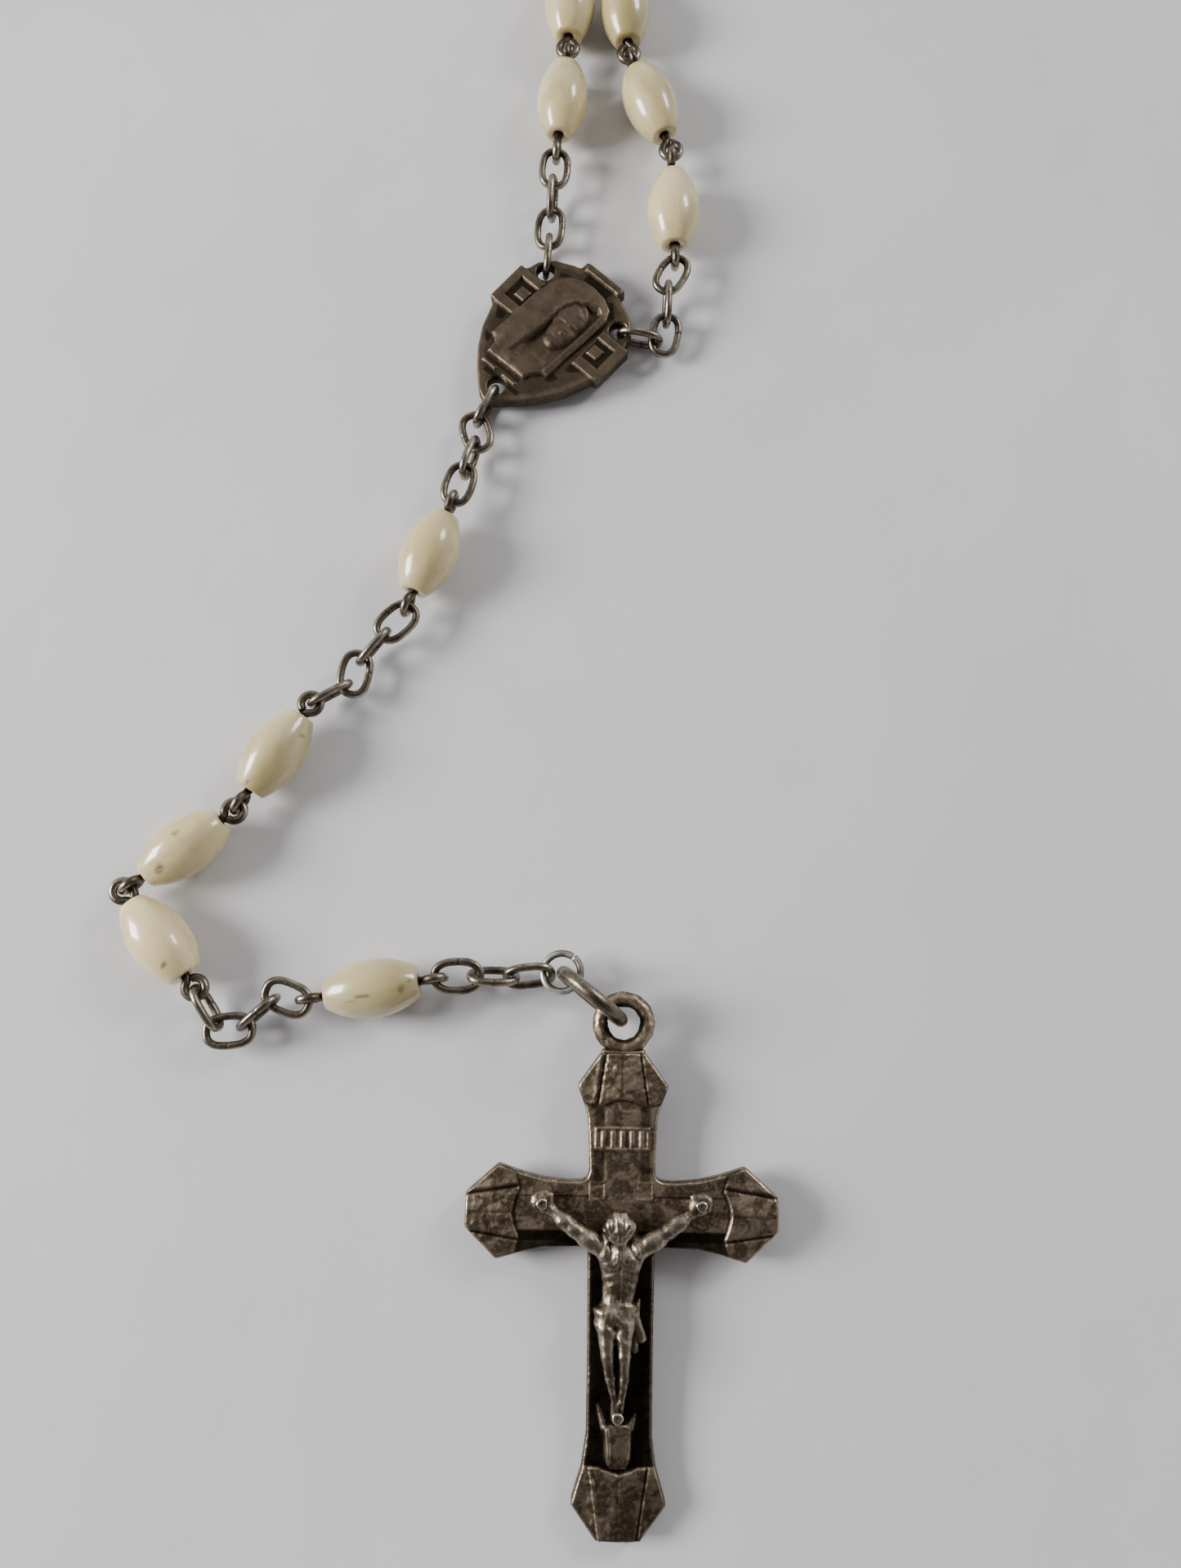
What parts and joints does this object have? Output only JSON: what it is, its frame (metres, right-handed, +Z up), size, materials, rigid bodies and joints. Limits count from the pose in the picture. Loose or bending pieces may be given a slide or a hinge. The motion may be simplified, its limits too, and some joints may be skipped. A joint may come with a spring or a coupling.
{
  "type": "rosary",
  "caption": "Strung prayer beads: oval shell beads on eye pins with oval link chain, a heart-shaped centre medal and a hanging crucifix, laid out flat.",
  "frame": {"origin": "centre of the laid-out rosary's footprint, on the table it lies on", "axes": "+Z up from the table, +Y the way the two strands leave the medal's top, +X to the right; the crucifix's top points almost along +Y"},
  "size_m": [0.1892, 0.229, 0.0073],
  "materials": {
    "bead": "polished mother-of-pearl, creamy with a faint green and yellow depth",
    "wire": "darkened drawn wire with worn highlights",
    "cast": "dark oxidised casting, satin on the raised parts",
    "figure": "cast, rubbed bright on the raised parts",
    "bright_ring": "bright polished wire"
  },
  "bodies": {
    "medal": {"medal": "cast"},
    "medal_chain_link_4": {"medal_chain_link_4": "wire"},
    "medal_chain_link_3": {"medal_chain_link_3": "wire"},
    "medal_chain_link_2": {"medal_chain_link_2": "wire"},
    "medal_chain_link_1": {"medal_chain_link_1": "wire"},
    "pendant_pin_5": {"pendant_pin_5": "wire"},
    "mid_chain_link_4": {"mid_chain_link_4": "wire"},
    "mid_chain_link_3": {"mid_chain_link_3": "wire"},
    "mid_chain_link_2": {"mid_chain_link_2": "wire"},
    "mid_chain_link_1": {"mid_chain_link_1": "wire"},
    "pendant_pin_4": {"pendant_pin_4": "wire"},
    "pendant_pin_3": {"pendant_pin_3": "wire"},
    "pendant_pin_2": {"pendant_pin_2": "wire"},
    "low_chain_link_4": {"low_chain_link_4": "wire"},
    "low_chain_link_3": {"low_chain_link_3": "wire"},
    "low_chain_link_2": {"low_chain_link_2": "wire"},
    "low_chain_link_1": {"low_chain_link_1": "wire"},
    "pendant_pin_1": {"pendant_pin_1": "wire"},
    "cross_chain_link_3": {"cross_chain_link_3": "wire"},
    "cross_chain_link_2": {"cross_chain_link_2": "wire"},
    "cross_chain_link_1": {"cross_chain_link_1": "wire"},
    "small_ring": {"small_ring": "bright_ring"},
    "crucifix_ring": {"crucifix_ring": "cast"},
    "crucifix": {"crucifix": "cast", "corpus": "figure", "corpus_nails": "figure"},
    "left_chain_link_1": {"left_chain_link_1": "wire"},
    "left_chain_link_2": {"left_chain_link_2": "wire"},
    "left_chain_link_3": {"left_chain_link_3": "wire"},
    "left_chain_link_4": {"left_chain_link_4": "wire"},
    "left_pin_1": {"left_pin_1": "wire"},
    "left_pin_2": {"left_pin_2": "wire"},
    "decade_1": {"decade_1_beads": "bead", "decade_1_wires": "wire"},
    "decade_2": {"decade_2_beads": "bead", "decade_2_wires": "wire"},
    "decade_3a": {"decade_3a_beads": "bead", "decade_3a_wires": "wire"},
    "right_chain_link_1": {"right_chain_link_1": "wire"},
    "right_chain_link_2": {"right_chain_link_2": "wire"},
    "right_chain_link_3": {"right_chain_link_3": "wire"},
    "right_chain_link_4": {"right_chain_link_4": "wire"},
    "right_pin_1": {"right_pin_1": "wire"},
    "right_pin_2": {"right_pin_2": "wire"},
    "decade_5": {"decade_5_beads": "bead", "decade_5_wires": "wire"},
    "decade_4": {"decade_4_beads": "bead", "decade_4_wires": "wire"},
    "decade_3b": {"decade_3b_beads": "bead", "decade_3b_wires": "wire"},
    "pendant_bead_1": {"pendant_bead_1": "bead"},
    "pendant_bead_2": {"pendant_bead_2": "bead"},
    "pendant_bead_3": {"pendant_bead_3": "bead"},
    "pendant_bead_4": {"pendant_bead_4": "bead"},
    "pendant_bead_5": {"pendant_bead_5": "bead"},
    "left_bead_1": {"left_bead_1": "bead"},
    "right_bead_1": {"right_bead_1": "bead"},
    "left_bead_2": {"left_bead_2": "bead"},
    "right_bead_2": {"right_bead_2": "bead"}
  },
  "joints": [
    {"name": "medal_chain_link_4_swing", "type": "hinge", "parent": "medal", "child": "medal_chain_link_4", "pos_m": [-0.06228, -0.01595, 0.0016], "axis": [0, 0, 1], "range_deg": [-60, 50]},
    {"name": "medal_chain_link_3_swing", "type": "hinge", "parent": "medal_chain_link_4", "child": "medal_chain_link_3", "pos_m": [-0.06433, -0.01988, 0.0016], "axis": [0, 0, -1], "range_deg": [-60, 60]},
    {"name": "medal_chain_link_2_swing", "type": "hinge", "parent": "medal_chain_link_3", "child": "medal_chain_link_2", "pos_m": [-0.06389, -0.02126, 0.00174], "axis": [0, 0, 1], "range_deg": [-20, 60]},
    {"name": "medal_chain_link_1_swing", "type": "hinge", "parent": "medal_chain_link_2", "child": "medal_chain_link_1", "pos_m": [-0.0653, -0.02558, 0.0026], "axis": [0, 0, -1], "range_deg": [-60, 60]},
    {"name": "pendant_pin_5_swing", "type": "hinge", "parent": "medal_chain_link_1", "child": "pendant_pin_5", "pos_m": [-0.06573, -0.02697, 0.0026], "axis": [0, 0, 1], "range_deg": [-60, 60]},
    {"name": "mid_chain_link_4_swing", "type": "hinge", "parent": "pendant_pin_5", "child": "mid_chain_link_4", "pos_m": [-0.07029, -0.03915, 0.0026], "axis": [0, 0, -1], "range_deg": [-60, 15]},
    {"name": "mid_chain_link_3_swing", "type": "hinge", "parent": "mid_chain_link_4", "child": "mid_chain_link_3", "pos_m": [-0.07133, -0.04016, 0.0026], "axis": [0, 0, 1], "range_deg": [-40, 60]},
    {"name": "mid_chain_link_2_swing", "type": "hinge", "parent": "mid_chain_link_3", "child": "mid_chain_link_2", "pos_m": [-0.07436, -0.04358, 0.00185], "axis": [0, 0, -1], "range_deg": [-15, 60]},
    {"name": "mid_chain_link_1_swing", "type": "hinge", "parent": "mid_chain_link_2", "child": "mid_chain_link_1", "pos_m": [-0.07461, -0.04501, 0.00185], "axis": [0, 0, 1], "range_deg": [-60, 60]},
    {"name": "pendant_pin_4_swing", "type": "hinge", "parent": "mid_chain_link_1", "child": "pendant_pin_4", "pos_m": [-0.07812, -0.04729, 0.0026], "axis": [0, 0, -1], "range_deg": [-60, 60]},
    {"name": "pendant_pin_3_swing", "type": "hinge", "parent": "pendant_pin_4", "child": "pendant_pin_3", "pos_m": [-0.08428, -0.05695, 0.0026], "axis": [0, 0, 1], "range_deg": [-60, 60]},
    {"name": "pendant_pin_2_swing", "type": "hinge", "parent": "pendant_pin_3", "child": "pendant_pin_2", "pos_m": [-0.09337, -0.06393, 0.0026], "axis": [0, 0, -1], "range_deg": [-10, 60]},
    {"name": "low_chain_link_4_swing", "type": "hinge", "parent": "pendant_pin_2", "child": "low_chain_link_4", "pos_m": [-0.08663, -0.07211, 0.0026], "axis": [0, 0, 1], "range_deg": [-60, 45]},
    {"name": "low_chain_link_3_swing", "type": "hinge", "parent": "low_chain_link_4", "child": "low_chain_link_3", "pos_m": [-0.08447, -0.0757, 0.00185], "axis": [0, 0, -1], "range_deg": [-45, 60]},
    {"name": "low_chain_link_2_swing", "type": "hinge", "parent": "low_chain_link_3", "child": "low_chain_link_2", "pos_m": [-0.08303, -0.07559, 0.00185], "axis": [0, 0, 1], "range_deg": [-60, 50]},
    {"name": "low_chain_link_1_swing", "type": "hinge", "parent": "low_chain_link_2", "child": "low_chain_link_1", "pos_m": [-0.07953, -0.07265, 0.0026], "axis": [0, 0, -1], "range_deg": [-60, 60]},
    {"name": "pendant_pin_1_swing", "type": "hinge", "parent": "low_chain_link_1", "child": "pendant_pin_1", "pos_m": [-0.07819, -0.07319, 0.0026], "axis": [0, 0, 1], "range_deg": [-60, 60]},
    {"name": "cross_chain_link_3_swing", "type": "hinge", "parent": "pendant_pin_1", "child": "cross_chain_link_3", "pos_m": [-0.06534, -0.07116, 0.0026], "axis": [0, 0, -1], "range_deg": [-30, 15]},
    {"name": "cross_chain_link_2_swing", "type": "hinge", "parent": "cross_chain_link_3", "child": "cross_chain_link_2", "pos_m": [-0.06389, -0.07112, 0.0026], "axis": [0, 0, 1], "range_deg": [-60, 20]},
    {"name": "cross_chain_link_1_swing", "type": "hinge", "parent": "cross_chain_link_2", "child": "cross_chain_link_1", "pos_m": [-0.0593, -0.07116, 0.002], "axis": [0, 0, -1], "range_deg": [-10, 5]},
    {"name": "small_ring_swing", "type": "hinge", "parent": "cross_chain_link_1", "child": "small_ring", "pos_m": [-0.05583, -0.0708, 0.00225], "axis": [0, 0, 1], "range_deg": [-30, 40]},
    {"name": "crucifix_ring_swing", "type": "hinge", "parent": "small_ring", "child": "crucifix_ring", "pos_m": [-0.05583, -0.0708, 0.00225], "axis": [0, 0, -1], "range_deg": [-50, 40]},
    {"name": "crucifix_lift", "type": "hinge", "parent": "crucifix_ring", "child": "crucifix", "pos_m": [-0.05326, -0.07287, 0.00365], "axis": [-0.6293, -0.7771, 0], "range_deg": [0, 85]},
    {"name": "left_chain_link_1_swing", "type": "hinge", "parent": "medal", "child": "left_chain_link_1", "pos_m": [-0.05772, -0.0039, 0.0016], "axis": [0, 0, 1], "range_deg": [0, 30]},
    {"name": "left_chain_link_2_swing", "type": "hinge", "parent": "left_chain_link_1", "child": "left_chain_link_2", "pos_m": [-0.05742, 0.00052, 0.0016], "axis": [0, 0, -1], "range_deg": [-30, 0]},
    {"name": "left_chain_link_3_swing", "type": "hinge", "parent": "left_chain_link_2", "child": "left_chain_link_3", "pos_m": [-0.0573, 0.00196, 0.00174], "axis": [0, 0, 1], "range_deg": [0, 30]},
    {"name": "left_chain_link_4_swing", "type": "hinge", "parent": "left_chain_link_3", "child": "left_chain_link_4", "pos_m": [-0.05695, 0.00649, 0.0026], "axis": [0, 0, -1], "range_deg": [-30, 0]},
    {"name": "left_pin_1_swing", "type": "hinge", "parent": "left_chain_link_4", "child": "left_pin_1", "pos_m": [-0.05683, 0.00794, 0.0026], "axis": [0, 0, 1], "range_deg": [0, 30]},
    {"name": "left_pin_2_swing", "type": "hinge", "parent": "left_pin_1", "child": "left_pin_2", "pos_m": [-0.05568, 0.02115, 0.0026], "axis": [0, 0, -1], "range_deg": [-30, 0]},
    {"name": "decade_1_swing", "type": "hinge", "parent": "left_pin_2", "child": "decade_1", "pos_m": [-0.05528, 0.03261, 0.0026], "axis": [0, 0, 1], "range_deg": [-3, 30]},
    {"name": "decade_2_swing", "type": "hinge", "parent": "decade_1", "child": "decade_2", "pos_m": [-0.01846, 0.11004, 0.0026], "axis": [0, 0, -1], "range_deg": [-30, 10]},
    {"name": "decade_3a_swing", "type": "hinge", "parent": "decade_2", "child": "decade_3a", "pos_m": [0.0918, 0.03825, 0.0026], "axis": [0, 0, 1], "range_deg": [-20, 30]},
    {"name": "right_chain_link_1_swing", "type": "hinge", "parent": "medal", "child": "right_chain_link_1", "pos_m": [-0.05075, -0.0102, 0.0016], "axis": [0, 0, 1], "range_deg": [-15, 0]},
    {"name": "right_chain_link_2_swing", "type": "hinge", "parent": "right_chain_link_1", "child": "right_chain_link_2", "pos_m": [-0.04641, -0.01108, 0.0016], "axis": [0, 0, -1], "range_deg": [0, 8]},
    {"name": "right_chain_link_3_swing", "type": "hinge", "parent": "right_chain_link_2", "child": "right_chain_link_3", "pos_m": [-0.04612, -0.00967, 0.00174], "axis": [0, 0, 1], "range_deg": [-15, 0]},
    {"name": "right_chain_link_4_swing", "type": "hinge", "parent": "right_chain_link_3", "child": "right_chain_link_4", "pos_m": [-0.04597, -0.00512, 0.0026], "axis": [0, 0, -1], "range_deg": [0, 8]},
    {"name": "right_pin_1_swing", "type": "hinge", "parent": "right_chain_link_4", "child": "right_pin_1", "pos_m": [-0.04524, -0.00387, 0.0026], "axis": [0, 0, 1], "range_deg": [-15, 0]},
    {"name": "right_pin_2_swing", "type": "hinge", "parent": "right_pin_1", "child": "right_pin_2", "pos_m": [-0.04547, 0.0093, 0.0026], "axis": [0, 0, -1], "range_deg": [0, 8]},
    {"name": "decade_5_swing", "type": "hinge", "parent": "right_pin_2", "child": "decade_5", "pos_m": [-0.04956, 0.02054, 0.0026], "axis": [0, 0, 1], "range_deg": [-15, 0]},
    {"name": "decade_4_swing", "type": "hinge", "parent": "decade_5", "child": "decade_4", "pos_m": [0.01511, 0.06391, 0.0026], "axis": [0, 0, -1], "range_deg": [-10, 8]},
    {"name": "decade_3b_swing", "type": "hinge", "parent": "decade_4", "child": "decade_3b", "pos_m": [0.03558, -0.07512, 0.0026], "axis": [0, 0, 1], "range_deg": [-30, 0]},
    {"name": "pendant_bead_1_spin", "type": "hinge", "parent": "pendant_pin_1", "child": "pendant_bead_1", "pos_m": [-0.07176, -0.07218, 0.0026], "axis": [0.9877, 0.1564, 0], "continuous": true},
    {"name": "pendant_bead_2_spin", "type": "hinge", "parent": "pendant_pin_2", "child": "pendant_bead_2", "pos_m": [-0.09, -0.06802, 0.0026], "axis": [0.6361, -0.7716, 0], "continuous": true},
    {"name": "pendant_bead_3_spin", "type": "hinge", "parent": "pendant_pin_3", "child": "pendant_bead_3", "pos_m": [-0.08883, -0.06044, 0.0026], "axis": [-0.7934, -0.6088, 0], "continuous": true},
    {"name": "pendant_bead_4_spin", "type": "hinge", "parent": "pendant_pin_4", "child": "pendant_bead_4", "pos_m": [-0.0812, -0.05212, 0.0026], "axis": [-0.5373, -0.8434, 0], "continuous": true},
    {"name": "pendant_bead_5_spin", "type": "hinge", "parent": "pendant_pin_5", "child": "pendant_bead_5", "pos_m": [-0.06801, -0.03306, 0.0026], "axis": [-0.3502, -0.9367, 0], "continuous": true},
    {"name": "left_bead_1_spin", "type": "hinge", "parent": "left_pin_1", "child": "left_bead_1", "pos_m": [-0.05625, 0.01454, 0.0026], "axis": [0.0872, 0.9962, 0], "continuous": true},
    {"name": "right_bead_1_spin", "type": "hinge", "parent": "right_pin_1", "child": "right_bead_1", "pos_m": [-0.04535, 0.00271, 0.0026], "axis": [-0.0174, 0.9998, 0], "continuous": true},
    {"name": "left_bead_2_spin", "type": "hinge", "parent": "left_pin_2", "child": "left_bead_2", "pos_m": [-0.05548, 0.02688, 0.0026], "axis": [0.0349, 0.9994, 0], "continuous": true},
    {"name": "right_bead_2_spin", "type": "hinge", "parent": "right_pin_2", "child": "right_bead_2", "pos_m": [-0.04752, 0.01492, 0.0026], "axis": [-0.342, 0.9397, 0], "continuous": true}
  ]
}
